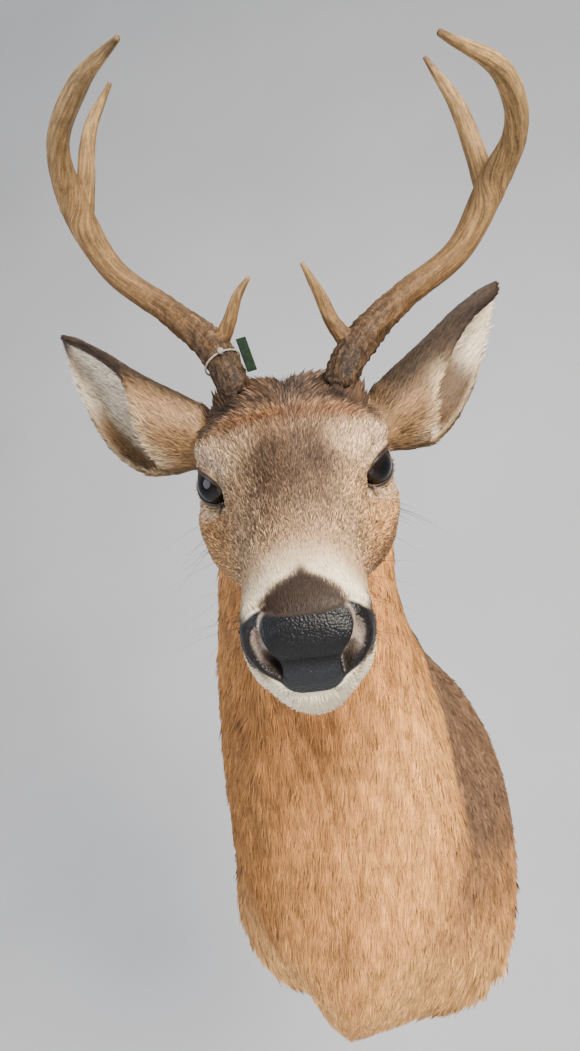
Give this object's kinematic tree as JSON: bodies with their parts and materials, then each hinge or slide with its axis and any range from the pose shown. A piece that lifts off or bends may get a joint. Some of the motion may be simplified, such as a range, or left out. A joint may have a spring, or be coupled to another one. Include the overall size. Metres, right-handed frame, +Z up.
{
  "type": "white-tailed deer shoulder mount",
  "caption": "White-tailed deer shoulder mount for a wall: neck and chest with the head turned to its left, cupped ears, glass eyes and branched antlers.",
  "frame": {"origin": "centre of the backboard's rear face, on the wall plane", "axes": "+Y into the wall, so the deer faces -Y; +X to the deer's own left; +Z up"},
  "size_m": [0.3901, 0.5315, 0.8459],
  "materials": {
    "body_hair": "short tan hair, matte, darker grey-brown over the shoulder",
    "face_hair": "short grizzled brown hair, matte",
    "muzzle_hair": "very short hair, brown with a pale band, matte",
    "chin_hair": "short cream white hair, matte",
    "ear_hair": "short grey-brown hair outside, long pale hair inside",
    "nose_leather": "pebbled black skin, moist sheen",
    "glass_eye": "polished dark glass",
    "antler_bone": "grooved bone, satin, paler towards the tips",
    "board_wood": "bare plywood",
    "tag_plastic": "thin green strip, satin",
    "tag_cord": "white twisted thread"
  },
  "bodies": {
    "root": {"shoulders": "body_hair", "neck": "body_hair", "head": "face_hair", "muzzle": "muzzle_hair", "nose_pad": "nose_leather", "lower_jaw": "chin_hair", "ear_right": "ear_hair", "ear_left": "ear_hair", "eye_right": "glass_eye", "eye_left": "glass_eye", "antler_right_base": "antler_bone", "antler_right_beam": "antler_bone", "antler_right_tip": "antler_bone", "antler_right_brow_tine": "antler_bone", "antler_right_back_tine": "antler_bone", "antler_left_base": "antler_bone", "antler_left_beam": "antler_bone", "antler_left_tip": "antler_bone", "antler_left_brow_tine": "antler_bone", "antler_left_back_tine": "antler_bone", "backboard": "board_wood", "tag": "tag_plastic", "tag_thread": "tag_cord"}
  },
  "joints": []
}
